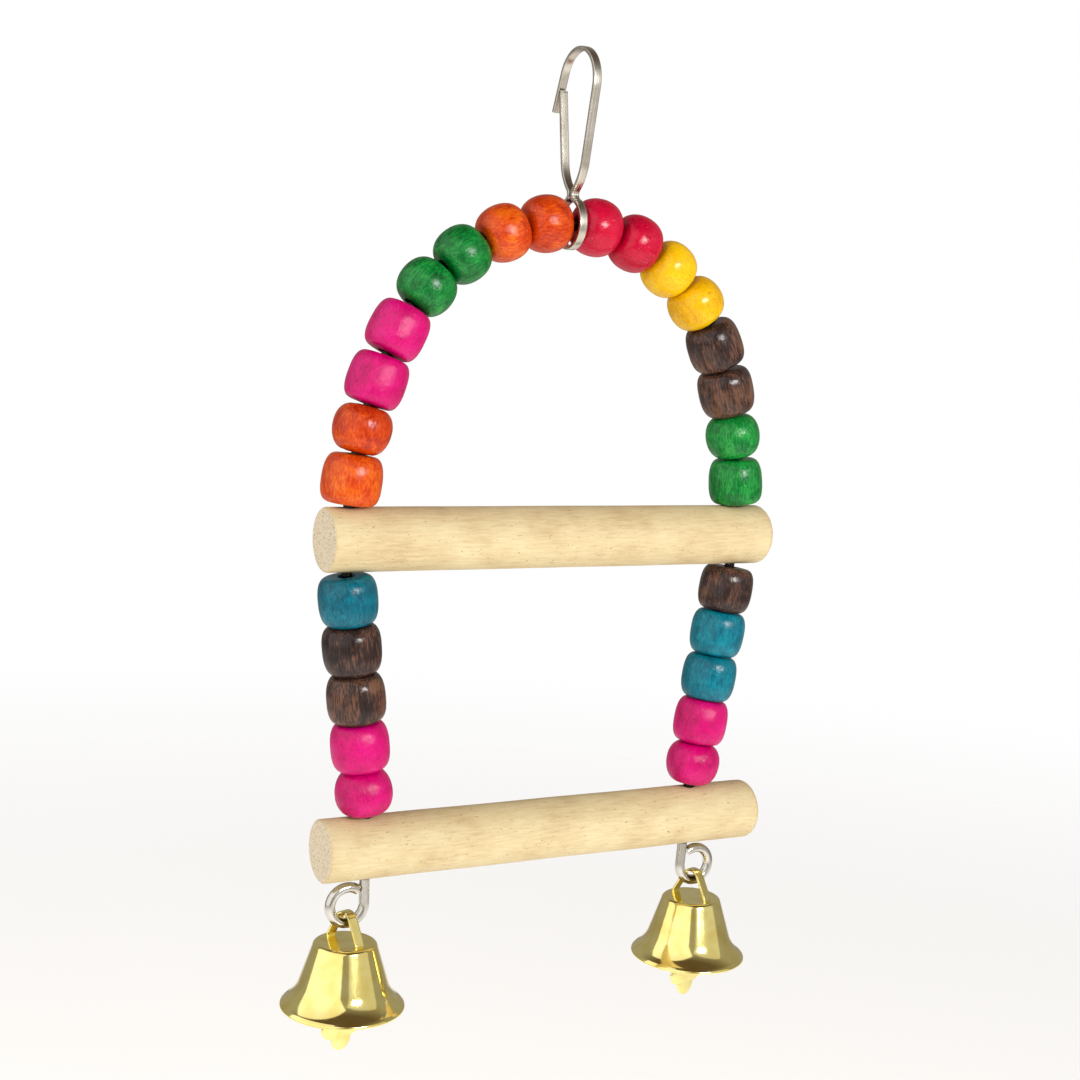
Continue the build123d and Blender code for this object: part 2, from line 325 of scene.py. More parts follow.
@dataclass(frozen=True)
class BareDowel(Finish):
    """Pale hardwood dowel, planed round, sawn to length and lightly tumbled, with nothing on it.

    The eye sees cream wood with fine fibres along it, small brown flecks, and at the sawn ends a
    greyer face dotted with cut pores.
    """

    slot: str = "bare_wood"
    light: str = "#DBCBA0"
    body: str = "#D1BC90"
    deep: str = "#C0A67A"
    fleck: str = "#9C7850"
    sawn: str = "#E0D0B4"
    relief: float = 0.04  # millimetres

    MADE = "planed"
    FIBRE = (4.0, 0.42, 0.42)  # along and across the grain, in millimetres
    FLECK = (0.8, 0.33, 0.33)
    CLOUD = 7.0
    CLOUDS = 0.45  # share of the colour that the clouds decide, beside the fibres
    FLECK_FROM, SAWN_FLECK_FROM = 0.65, 0.57  # how high the noise has to rise to make a fleck
    FLECK_DEPTH = 1.2  # beside the fibres' height

    def surface(self, tree: bpy.types.NodeTree) -> dict[str | int, Any]:
        """Builds fibres along X, flecks and sawn ends.

        Args:
            tree: The material's tree.

        Returns:
            What goes into the shader's sockets.
        """
        place = add_node(tree, "TexCoord").outputs["Object"]
        cut = add_node(tree, "Attribute", attribute_name="cut").outputs["Fac"]
        mm = add_node(tree, "Mapping", {"Vector": place, "Scale": (1 / MM,) * 3})
        along = add_node(tree, "Mapping", {"Vector": mm, "Scale": per_mm(*self.FIBRE)})
        fibres = add_node(tree, "TexNoise", {"Vector": along, "Scale": 1.0, "Detail": 5.0, "Roughness": 0.6})
        clouds = add_node(
            tree, "TexNoise", {"Vector": mm, "Scale": 1 / self.CLOUD, "Detail": 2.0, "Roughness": 0.5}
        )
        grown = add_node(
            tree, "Mix", {MIX_SHARE: self.CLOUDS, VALUE_A: fibres, VALUE_B: clouds}, data_type="FLOAT"
        )
        wood = add_node(
            tree,
            "ValToRGB",
            {"Fac": grown},
            stops=((0.32, self.deep), (0.66, self.light), (0.48, self.body)),
        )
        faced = add_node(
            tree, "Mix", {MIX_SHARE: cut, COLOUR_A: wood, COLOUR_B: linear(self.sawn)}, data_type="RGBA"
        ).outputs[COLOUR_MIXED]
        speck_map = add_node(tree, "Mapping", {"Vector": mm, "Scale": per_mm(*self.FLECK)})
        specks = add_node(
            tree, "TexNoise", {"Vector": speck_map, "Scale": 1.0, "Detail": 2.0, "Roughness": 0.45}
        )
        lowest = add_node(
            tree,
            "MapRange",
            {"Value": cut, "From Max": 1.0, "To Min": self.FLECK_FROM, "To Max": self.SAWN_FLECK_FROM},
        )
        reach = add_node(tree, "Math", {0: specks, 1: lowest}, operation="SUBTRACT")
        flecks = add_node(
            tree, "MapRange", {"Value": reach, "From Min": 0.0, "From Max": 0.1, "To Max": 0.8}
        )
        colour = add_node(
            tree, "Mix", {MIX_SHARE: flecks, COLOUR_A: faced, COLOUR_B: linear(self.fleck)}, data_type="RGBA"
        )
        height = add_node(
            tree, "Math", {0: flecks, 1: -self.FLECK_DEPTH, 2: fibres}, operation="MULTIPLY_ADD"
        )
        bump = add_node(tree, "Bump", {"Height": height, "Strength": 0.7, "Distance": self.relief * MM})
        return {
            "Base Color": colour.outputs[COLOUR_MIXED],
            "Roughness": 0.68,
            "IOR": 1.5,
            "Specular IOR Level": 0.35,
            "Normal": bump,
        }


@dataclass(frozen=True)
class PlatedSteel(Finish):
    """Drawn steel wire or strip with bright nickel plate.

    The eye sees sharp dark and bright lines along the wire, slightly softened by the marks of drawing.

    Attributes:
        slot: The record's material slot, which also names the material.
        colour: Colour of the plate.
        tarnish: Its colour in dull patches.
        polished: Roughness on the smooth stretches.
        worn: Roughness in the drawing marks.
        painted_shade: A dark colour painted over the wire's strung stretch, as painted shade where it runs
            between the beads.
        relief: Depth of the drawing marks, in millimetres.
    """

    slot: str
    colour: str
    tarnish: str
    polished: float
    worn: float
    # Painted shade: this dark colour covers the strung stretch of the wire and stands for the shade between
    # the beads
    painted_shade: str = "#2E2826"
    relief: float = 0.004

    MADE = "nickel"
    MARK = (14.0, 0.16, 0.16)  # along and across the wire, in millimetres
    CLOUD = 6.0

    def surface(self, tree: bpy.types.NodeTree) -> dict[str | int, Any]:
        """Builds plate, painted shade on the strung stretch and drawing marks, on coordinates that lie along
        the wire.

        Args:
            tree: The material's tree.

        Returns:
            What goes into the shader's sockets.
        """
        grain = add_node(tree, "Attribute", attribute_name="grain").outputs["Vector"]
        strung = add_node(tree, "Attribute", attribute_name="cut").outputs["Fac"]
        along = add_node(tree, "Mapping", {"Vector": grain, "Scale": per_mm(*self.MARK)})
        marks = add_node(tree, "TexNoise", {"Vector": along, "Scale": 1.0, "Detail": 3.0, "Roughness": 0.6})
        clouds = add_node(
            tree, "TexNoise", {"Vector": grain, "Scale": 1 / self.CLOUD, "Detail": 4.0, "Roughness": 0.6}
        )
        plate = add_node(
            tree, "ValToRGB", {"Fac": clouds}, stops=((0.35, self.tarnish), (0.6, self.colour))
        )
        # Painted shade: where the wire is strung with beads, its colour is the dark painted shade instead of
        # the plate
        colour = add_node(
            tree, "Mix", {MIX_SHARE: strung, COLOUR_A: plate, COLOUR_B: linear(self.painted_shade)}, data_type="RGBA"
        )
        rough = add_node(
            tree,
            "MapRange",
            {"Value": marks, "From Min": 0.35, "From Max": 0.7, "To Min": self.polished, "To Max": self.worn},
        )
        bump = add_node(tree, "Bump", {"Height": marks, "Strength": 0.6, "Distance": self.relief * MM})
        return {
            "Base Color": colour.outputs[COLOUR_MIXED],
            "Metallic": 1.0,
            "Roughness": rough,
            "Normal": bump,
        }


@dataclass(frozen=True)
class PolishedBrass(Finish):
    """Thin sheet pressed into a bell and plated with bright brass.

    The eye sees clear, slightly rippled reflections tinted yellow, with faint marks of the polishing.
    """

    slot: str = "bell_brass"
    colour: str = "#F9EA9A"
    stain: str = "#F0DA80"
    relief: float = 0.004  # millimetres

    MADE = "pressed"
    RIPPLE = 3.2  # millimetres
    BRUSH = (0.22, 0.22, 5.0)

    def surface(self, tree: bpy.types.NodeTree) -> dict[str | int, Any]:
        """Builds ripples and polishing marks, on the bells' own coordinates.

        Args:
            tree: The material's tree.

        Returns:
            What goes into the shader's sockets.
        """
        place = add_node(tree, "TexCoord").outputs["Object"]
        mm = add_node(tree, "Mapping", {"Vector": place, "Scale": (1 / MM,) * 3})
        ripple = add_node(
            tree, "TexNoise", {"Vector": mm, "Scale": 1 / self.RIPPLE, "Detail": 1.0, "Roughness": 0.4}
        )
        brush_map = add_node(tree, "Mapping", {"Vector": mm, "Scale": per_mm(*self.BRUSH)})
        brush = add_node(
            tree, "TexNoise", {"Vector": brush_map, "Scale": 1.0, "Detail": 3.0, "Roughness": 0.6}
        )
        plate = add_node(tree, "ValToRGB", {"Fac": ripple}, stops=((0.3, self.stain), (0.6, self.colour)))
        rough = add_node(
            tree,
            "MapRange",
            {"Value": brush, "From Min": 0.4, "From Max": 0.75, "To Min": 0.08, "To Max": 0.15},
        )
        worked = add_node(tree, "Math", {0: ripple, 1: brush}, operation="ADD")
        bump = add_node(tree, "Bump", {"Height": worked, "Strength": 0.6, "Distance": self.relief * MM})
        return {"Base Color": plate, "Metallic": 1.0, "Roughness": rough, "Normal": bump}


PERCH_WOOD = BareDowel()
WIRE_PLATE = PlatedSteel("plated_wire", "#D2CEC6", "#B4AEA4", 0.12, 0.26)
CLIP_PLATE = PlatedSteel("clip_steel", "#CFC9BD", "#B8B0A2", 0.2, 0.36)
BELL_BRASS = PolishedBrass()


# Surfaces on grids


@dataclass(frozen=True)
class Skin:
    """A surface on a grid of points, whose columns run round and meet.

    Attributes:
        points: Rows by columns by three coordinates, in metres.
        rows_meet: Whether the last row joins the first; if not, each end row is drawn to a point.
        grain: Pattern coordinates of each point, in millimetres.
        cut: How far each point lies on a sawn face, or on a strung stretch of wire that takes painted shade,
            from 0 to 1.
        tone: A shift of the pattern's colour, the same all over.
    """

    points: np.ndarray
    rows_meet: bool = False
    grain: np.ndarray | None = None
    cut: np.ndarray | None = None
    tone: float = 0.0


def closed_ends(grid: np.ndarray) -> np.ndarray:
    """Adds a row at each end of a grid, in which every point lies at the middle of the end row.

    Args:
        grid: Rows by columns by any number of values.

    Returns:
        The grid with two more rows.
    """
    first = np.broadcast_to(grid[:1].mean(axis=1, keepdims=True), grid[:1].shape)
    last = np.broadcast_to(grid[-1:].mean(axis=1, keepdims=True), grid[-1:].shape)
    return np.concatenate([first, grid, last])


def make_piece(name: str, skin: Skin, sharp: float = 40.0) -> bpy.types.Object:
    """Puts a skin into a mesh with closed poles, outward faces and smooth shading.

    Each face joins a point, the next one down its column and their two neighbours in the next column.

    Args:
        name: The piece's name.
        skin: The surface.
        sharp: Angle, in degrees, past which an edge stays sharp.

    Returns:
        The new object, at the origin.
    """
    ready = (lambda grid: grid) if skin.rows_meet else closed_ends
    points = ready(skin.points)
    rows, columns = points.shape[:2]
    index = np.arange(rows * columns).reshape(rows, columns)
    index = np.concatenate([index, index[:, :1]], axis=1)
    if skin.rows_meet:
        index = np.concatenate([index, index[:1]])
    corners = (index[:-1, :-1], index[1:, :-1], index[1:, 1:], index[:-1, 1:])
    faces = np.stack(corners, axis=-1).reshape(-1, 4)
    mesh = bpy.data.meshes.new(name)
    mesh.from_pydata(points.reshape(-1, 3).tolist(), [], faces.tolist())
    if skin.grain is not None:
        grain = mesh.attributes.new("grain", "FLOAT_VECTOR", "POINT")
        grain.data.foreach_set("vector", ready(skin.grain).astype(np.float32).ravel())
    if skin.cut is not None:
        cut = mesh.attributes.new("cut", "FLOAT", "POINT")
        cut.data.foreach_set("value", ready(skin.cut).astype(np.float32).ravel())
    tone = mesh.attributes.new("tone", "FLOAT", "POINT")
    tone.data.foreach_set("value", np.full(rows * columns, skin.tone, np.float32))

    shape = bmesh.new()
    shape.from_mesh(mesh)
    bmesh.ops.remove_doubles(shape, verts=shape.verts, dist=1e-4 * MM)
    bmesh.ops.recalc_face_normals(shape, faces=shape.faces)
    shape.to_mesh(mesh)
    shape.free()
    mesh.shade_smooth()
    mesh.set_sharp_from_angle(angle=math.radians(sharp))
    piece = bpy.data.objects.new(name, mesh)
    bpy.context.scene.collection.objects.link(piece)
    return piece


def drill(piece: bpy.types.Object, skins: Sequence[Skin], sharp: float = 40.0) -> None:
    """Cuts closed skins out of a piece, such as the bores in a dowel.

    Args:
        piece: The piece, whose mesh is replaced.
        skins: The surfaces of what is taken out.
        sharp: Angle, in degrees, past which an edge stays sharp.
    """
    for skin in skins:
        cutter = make_piece("cutter", skin)
        bore = piece.modifiers.new("bore", "BOOLEAN")
        bore.operation = "DIFFERENCE"
        bore.solver = "EXACT"
        bore.object = cutter
        view = bpy.context.evaluated_depsgraph_get()
        whole = piece.data
        piece.data = bpy.data.meshes.new_from_object(piece.evaluated_get(view))
        piece.modifiers.clear()
        piece.data.name = piece.name
        bpy.data.meshes.remove(whole)
        bpy.data.objects.remove(cutter)
    piece.data.shade_smooth()
    piece.data.set_sharp_from_angle(angle=math.radians(sharp))


def dress(piece: bpy.types.Object, finish: Finish, body: str, node: str) -> None:
    """Gives a piece its finish and has it stand for a node and ride on a body.

    Args:
        piece: The piece.
        finish: What its surface is made of.
        body: The body that it moves with.
        node: The node that it stands for.
    """
    piece.data.materials.append(finish.material())
    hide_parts(node)
    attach(piece, body)
    LOG.info("%s rides on %s, %d faces", piece.name, body, len(piece.data.polygons))


def arc(
    centre: Sequence[float], radius: float, start: float, turn: float, steps: int = 48
) -> np.ndarray:
    """Points along a circle, at even angles from a start through a turn, which is positive anticlockwise.

    Args:
        centre: The circle's centre, two coordinates.
        radius: Its radius.
        start: The first point's angle, in degrees.
        turn: The angle from the first point to the last, in degrees.
        steps: How many steps lie between them.

    Returns:
        Points by two coordinates.
    """
    angle = np.radians(start + turn * np.linspace(0, 1, steps + 1))
    return np.column_stack([centre[0] + radius * np.cos(angle), centre[1] + radius * np.sin(angle)])


def bearing(start: Sequence[float], end: Sequence[float]) -> float:
    """The direction from one point to another, in degrees."""
    return math.degrees(math.atan2(end[1] - start[1], end[0] - start[0]))


def spaced(points: np.ndarray, step: float) -> np.ndarray:
    """Points at even lengths along a broken line: the runs' lengths are added up, and each coordinate is
    read off between its neighbours.

    Args:
        points: Points by coordinates.
        step: The length between new points.

    Returns:
        The new points.
    """
    runs = np.linalg.norm(np.diff(points, axis=0), axis=1)
    lengths = np.concatenate([[0.0], np.cumsum(runs)])
    even = np.linspace(0, lengths[-1], math.ceil(lengths[-1] / step) + 1)
    return np.column_stack([np.interp(even, lengths, column) for column in points.T])


def sweep(path: np.ndarray, profile: np.ndarray, across: np.ndarray) -> Skin:
    """Carries a profile along a flat path. At each point of the path the profile's first axis lies along
    the path's normal, which is square to its direction, and its second along the plane's own normal.

    Args:
        path: Points by three coordinates, in millimetres.
        profile: Points of a closed loop by two, in millimetres.
        across: The unit normal of the path's plane.

    Returns:
        The skin, with its grain along the path.
    """
    direction = np.gradient(path, axis=0)
    direction /= np.linalg.norm(direction, axis=1, keepdims=True)
    normal = np.cross(across, direction)
    inward = profile[:, 0][None, :, None] * normal[:, None, :]
    sideways = profile[:, 1][None, :, None] * across
    station = np.concatenate([[0.0], np.cumsum(np.linalg.norm(np.diff(path, axis=0), axis=1))])
    grain = np.empty((len(path), len(profile), 3))
    grain[..., 0] = station[:, None]
    grain[..., 1:] = profile[None]
    return Skin((path[:, None, :] + inward + sideways) * MM, grain=grain)


def turned(
    profile: np.ndarray,
    place: np.ndarray,
    axis: np.ndarray,
    columns: int,
    rows_meet: bool = False,
    shape: Callable[[np.ndarray, np.ndarray], np.ndarray] | None = None,
) -> Skin:
    """Turns a profile about an axis: each point goes round a circle of its radius at its height.

    Args:
        profile: Points by radius and height, in millimetres.
        place: The origin of the heights, in metres.
        axis: The unit axis, square to the front.
        columns: How many points lie on each circle.
        rows_meet: Whether the profile is a closed loop.
        shape: Gives the radii anew from the radii and the angles, for work that isn't quite round.

    Returns:
        The skin, with its grain along the axis.
    """
    angle = np.linspace(0, 2 * np.pi, columns, endpoint=False)[None, :]
    radius = np.repeat(profile[:, :1], columns, axis=1)
    height = np.repeat(profile[:, 1:], columns, axis=1)
    if shape is not None:
        radius = shape(radius, angle)
    grain = np.stack([radius * np.cos(angle), radius * np.sin(angle), height], axis=-1)
    frame = np.array([FRONT, np.cross(axis, FRONT), axis])
    return Skin(place + grain @ frame * MM, rows_meet=rows_meet, grain=grain)


def drill_bit(diameter: float, reach: float) -> np.ndarray:
    """A bore's profile to be turned: a straight side that reaches equally far both ways from its middle."""
    return np.array([[diameter / 2, -reach], [diameter / 2, reach]])


def loop(half_first: float, half_second: float, squareness: float, columns: int) -> np.ndarray:
    """A superellipse as a closed loop: with t running round a circle, each coordinate is its half size
    times the cosine or sine of t, kept in sign and raised to two over the squareness.

    Args:
        half_first: Half size along the first axis.
        half_second: Half size along the second axis.
        squareness: 2 for an ellipse, more for a rounded oblong.
        columns: How many points.

    Returns:
        Points by two.
    """
    t = np.linspace(0, 2 * np.pi, columns, endpoint=False)
    wave = np.column_stack([np.cos(t), np.sin(t)])
    return np.sign(wave) * np.abs(wave) ** (2 / squareness) * (half_first, half_second)


# The frame's joints


@dataclass(frozen=True)
class Joints:
    """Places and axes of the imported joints, whose rows are kept by name."""

    rows: dict[str, dict[str, Any]]

    def place(self, name: str) -> np.ndarray:
        """The point that a joint turns about, in metres."""
        return np.array(self.rows[name]["pos_m"], float)

    def axis(self, name: str) -> np.ndarray:
        """A joint's unit axis."""
        axis = np.array(self.rows[name]["axis"], float)
        return axis / np.linalg.norm(axis)


# Wire arch


@dataclass
class WireArch:
    """The bent wire: a crown bend, two shoulder bends, leaning legs, steeper feet and an eye at each end.

    Sizes are in millimetres on the wire's axis, and angles in degrees.
    """

    joints: Joints
    diameter: float = 2.0
    crown_radius: float = 38.5
    shoulder_radius: float = 88.0
    shoulder_angle: float = 23.5
    leg_lean: float = 7.7
    foot_lean: float = 2.0
    eye_radius: float = 3.45
    eye_turn: float = 306.0
    step: float = 0.3
    columns: int = 24

    BEND_STEPS, EYE_STEPS = 160, 90

    def half(self) -> np.ndarray:
        """The right half's axis, from the crown of the arch through both bends, the leg and the foot round
        the eye. Leg and foot meet where their two straight lines cross.

        Returns:
            Points by X and Z, in millimetres.
        """
        apex = self.joints.place("swing_hinge")[2] / MM
        hang = self.joints.place("right_bell_swing") / MM
        eye = (hang[0], hang[2] + self.eye_radius)
        crown = (0.0, apex - self.crown_radius)
        inset = self.crown_radius - self.shoulder_radius
        turn = math.radians(self.shoulder_angle)
        shoulder = (crown[0] + inset * math.cos(turn), crown[1] + inset * math.sin(turn))
        top = arc(crown, self.crown_radius, 90, self.shoulder_angle - 90, self.BEND_STEPS)
        sweep_back = -self.shoulder_angle - self.leg_lean
        bend = arc(shoulder, self.shoulder_radius, self.shoulder_angle, sweep_back, self.BEND_STEPS)
        ring = arc(eye, self.eye_radius, 180 - self.foot_lean, self.eye_turn, self.EYE_STEPS)
        leans = np.radians([self.leg_lean, self.foot_lean])
        down = -np.column_stack([np.sin(leans), np.cos(leans)])
        leg_run, _ = np.linalg.solve(down.T * (1, -1), ring[0] - bend[-1])
        ankle = bend[-1] + leg_run * down[0]
        return np.concatenate([top, bend, ankle[None], ring])

    def at_height(self, height: float) -> tuple[np.ndarray, np.ndarray]:
        """Where the right leg passes a height, above the eye.

        Args:
            height: The height, in metres.

        Returns:
            The point, in metres, and the wire's unit direction there.
        """
        path = spaced(self.half()[: -self.EYE_STEPS], self.step) * MM
        near = np.argmin(np.abs(path[:, 1] - height))
        run = path[near] - path[near - 1]
        point = path[near] + run * (height - path[near, 1]) / run[1]
        run /= np.linalg.norm(run)
        return np.array([point[0], 0.0, point[1]]), np.array([run[0], 0.0, run[1]])

    def build(self) -> None:
        """Sweeps the round wire along both halves, marks where it is strung with beads for the painted shade
        there, and dresses it.
        """
        right = self.half()
        flat = np.concatenate([right[:0:-1] * (-1, 1), right])
        even = spaced(flat, self.step)
        path = np.column_stack([even[:, 0], np.zeros(len(even)), even[:, 1]])
        skin = sweep(path, loop(self.diameter / 2, self.diameter / 2, 2, self.columns), FRONT)
        # Painted shade: above the lower perch the wire is strung, and its finish paints it dark there
        strung = skin.points[..., 2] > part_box("lower_perch")[0].z
        dress(make_piece("bent_wire_arch", replace(skin, cut=strung)), WIRE_PLATE, "swing", "arch_wire")


# Beads


@dataclass(frozen=True)
class BeadForm:
    """A bead's length and the diameter of its flat ends, in millimetres, and how full its side is."""

    length: float
    end: float
    fullness: float


class BeadShape(Enum):
    """The two turned shapes."""

    ROUND = BeadForm(8.5, 5.0, 2.1)
    BARREL = BeadForm(9.1, 6.6, 2.6)


ROUND, BARREL = BeadShape.ROUND, BeadShape.BARREL
ARCH_SHAPES = (ROUND, ROUND, ROUND, ROUND, BARREL, BARREL, ROUND, BARREL)
LEG_SHAPES = (BARREL, BARREL, BARREL, BARREL, ROUND)
ARCH_DOME, LEG_DOME = 0.14, 0.05  # millimetres


def pairs(*dyes: Dye) -> tuple[Dye, ...]:
    """Each colour twice over, as the beads are strung."""
    return tuple(dye for dye in dyes for _ in range(2))


# Each run's shapes, domed ends and colours, from the top down
STRINGS = {
    "left_arch_bead": (ARCH_SHAPES, ARCH_DOME, pairs(Dye.ORANGE, Dye.GREEN, Dye.PINK, Dye.ORANGE)),
    "right_arch_bead": (ARCH_SHAPES, ARCH_DOME, pairs(Dye.RED, Dye.YELLOW, Dye.BROWN, Dye.GREEN)),
    "left_leg_bead": (LEG_SHAPES, LEG_DOME, (Dye.TEAL, *pairs(Dye.BROWN, Dye.PINK))),
    "right_leg_bead": (LEG_SHAPES, LEG_DOME, (Dye.BROWN, *pairs(Dye.TEAL, Dye.PINK))),
}


@dataclass
class BeadString:
    """One run of beads on the wire, from the top down.

    Attributes:
        joints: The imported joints.
        name: What the beads' nodes are called, before their number.
        shapes: Each bead's shape.
        dyes: Each bead's colour.
        seed: Start of the random draws that make each bead a little different.
        dome: How far the ends stand out round the bore, in millimetres.
        bore: Diameter of the bores, in millimetres.
        out_of_round: Share of the radius that the turning may miss.
        facets: Share of the radius that the flats on dark beads take off.
        rows: Points round the section of the wall.
        columns: Points round the bead.
    """

    joints: Joints
    name: str
    shapes: Sequence[BeadShape]
    dyes: Sequence[Dye]
    seed: int
    dome: float
    bore: float = 3.0
    out_of_round: float = 0.03
    facets: float = 0.018
    rows: int = 72
    columns: int = 96

    SQUARE_BORE = 14.0
    LOPSIDED = 0.1
    TAPER = 0.1
    TONE = 0.05
    FLATS = 7
    PATTERN_RANGE = 200.0  # millimetres over which the beads' pieces of pattern are picked

    def profile(self, form: BeadForm, radius: float, lopsided: float, taper: float) -> np.ndarray:
        """A bead's wall in section, as a closed loop. Outside the rim of the flat end it is half of a
        superellipse that reaches the bead's radius and its two ends; inside, half of a nearly square one
        that reaches the bore, with ends that swell towards it by the square of the way in from the rim.
        The fullest part is pushed along the axis by a share of the length, and the wall thins towards
        one end in proportion to the height.

        Args:
            form: The bead's sizes.
            radius: Its radius, in millimetres.
            lopsided: The share of half the length by which the bulge is off the middle.
            taper: The share of the wall that is missing at the thinner end, below it if negative.

        Returns:
            Points by radius and height, in millimetres.
        """
        t = np.linspace(0, 2 * np.pi, self.rows, endpoint=False)
        out, rise = np.cos(t), np.sin(t)
        outside = out >= 0
        power = 2 / np.where(outside, form.fullness, self.SQUARE_BORE)
        rim = form.end / 2
        reach = np.where(outside, radius - rim, rim - self.bore / 2)
        share = np.sign(rise) * np.abs(rise) ** power
        left = np.where(outside, 1 - abs(taper) * (1 + math.copysign(1, taper) * share) / 2, 1)
        radii = rim + reach * left * np.sign(out) * np.abs(out) ** power
        heights = form.length / 2 * (share + np.where(outside, lopsided * (1 - share**2), 0))
        way_out = (radii - self.bore / 2) / (rim - self.bore / 2)
        heights += np.where(outside, 0, self.dome * share * (1 - way_out**2))
        return np.column_stack([radii, heights])

    def build(self) -> None:
        """Turns each bead on the axis of its joint and dresses it."""
        draws = np.random.default_rng(self.seed)
        for number, (shape, dye) in enumerate(zip(self.shapes, self.dyes, strict=True), start=1):
            node = f"{self.name}_{number}"
            low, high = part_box(node)
            radius = (high.y - low.y) / 2 / MM
            lopsided, oval, lobes, tone, taper = draws.uniform(-1, 1, 5)
            phases = draws.uniform(0, 2 * np.pi, 3)
            offset = draws.uniform(0, self.PATTERN_RANGE, 3)
            flats = self.facets if dye is Dye.BROWN else 0.0

            def uneven(
                radii: np.ndarray,
                angle: np.ndarray,
                oval: float = oval,
                lobes: float = lobes,
                phases: np.ndarray = phases,
                flats: float = flats,
            ) -> np.ndarray:
                """Takes an oval, three lobes and a few flats off the radius beyond the bore."""
                missing = self.out_of_round / 2 * abs(oval) * (1 - np.cos(2 * angle + phases[0]))
                missing += self.out_of_round / 4 * abs(lobes) * (1 - np.cos(3 * angle + phases[1]))
                missing += flats * (1 - np.abs(np.cos(self.FLATS / 2 * angle + phases[2])))
                return self.bore / 2 + (radii - self.bore / 2) * (1 - missing)

            skin = turned(
                self.profile(shape.value, radius, self.LOPSIDED * lopsided, self.TAPER * taper),
                self.joints.place(node + "_spin"),
                self.joints.axis(node + "_spin"),
                self.columns,
                rows_meet=True,
                shape=uneven,
            )
            skin = replace(skin, grain=skin.grain + offset, tone=self.TONE * tone)
            dress(make_piece(f"dyed_{node}", skin), dye.value, node, node)


# Perches


@dataclass
class Perch:
    """A dowel perch, bored where the wire passes, in millimetres."""

    node: str
    arch: WireArch
    left_rounding: float = 0.55
    right_rounding: float = 1.7
    bore: float = 2.6
    waviness: float = 0.06
    wave_length: float = 31.0
    columns: int = 112
    face_rows: int = 7
    run_rows: int = 60

    DRILL_REACH = 1.5  # of the dowel's radius, to each side
    DRILL_COLUMNS = 32

    def build(self) -> None:
        """Turns the dowel along X between its sawn ends, drills it and dresses it. Slow waves along it and
        round it take a little off the radius."""
        low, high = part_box(self.node)
        radius = (high.z - low.z) / 2 / MM
        length = (high.x - low.x) / MM
        middle = np.array([0.0, 0.0, (low.z + high.z) / 2])
        near, far = self.left_rounding, self.right_rounding
        left = arc((radius - near, -near), near, 90, -90, 6)
        right = arc((radius - far, far - length), far, 0, -90, 12)
        face = np.linspace(NEAR_AXIS, 1, self.face_rows)[:, None]
        start = np.column_stack([face * left[0, 0], np.zeros_like(face)])
        end = np.column_stack([face[::-1] * right[-1, 0], np.full_like(face, -length)])
        run = np.linspace(left[-1], right[0], self.run_rows)[1:-1]
        profile = np.concatenate([start[:-1], left, run, right, end[1:]])
        along = -profile[:, 1:] * (math.tau / self.wave_length)

        def waves(radii: np.ndarray, angle: np.ndarray) -> np.ndarray:
            """Takes waves that wind twice round the dowel, and three lobes, off the radius."""
            wave = 1 - np.cos(along + 2 * angle) * np.cos(3 * angle)
            return radii * (1 - self.waviness / radius * wave / 2)

        place = middle + ALONG * low.x
        skin = turned(profile * (1, -1), place, ALONG, self.columns, shape=waves)
        cut = np.zeros((len(profile), self.columns))
        cut[: len(start) + 1] = 1
        cut[-len(end) :] = 1
        piece = make_piece(f"planed_{self.node}", Skin(skin.points, cut=cut))
        point, direction = self.arch.at_height(middle[2])
        bit = drill_bit(self.bore, self.DRILL_REACH * radius)
        sides = [np.array([side, 1, 1]) for side in SIDES.values()]
        drill(piece, [turned(bit, point * side, direction * side, self.DRILL_COLUMNS) for side in sides])
        dress(piece, PERCH_WOOD, "swing", self.node)


# Spring clip


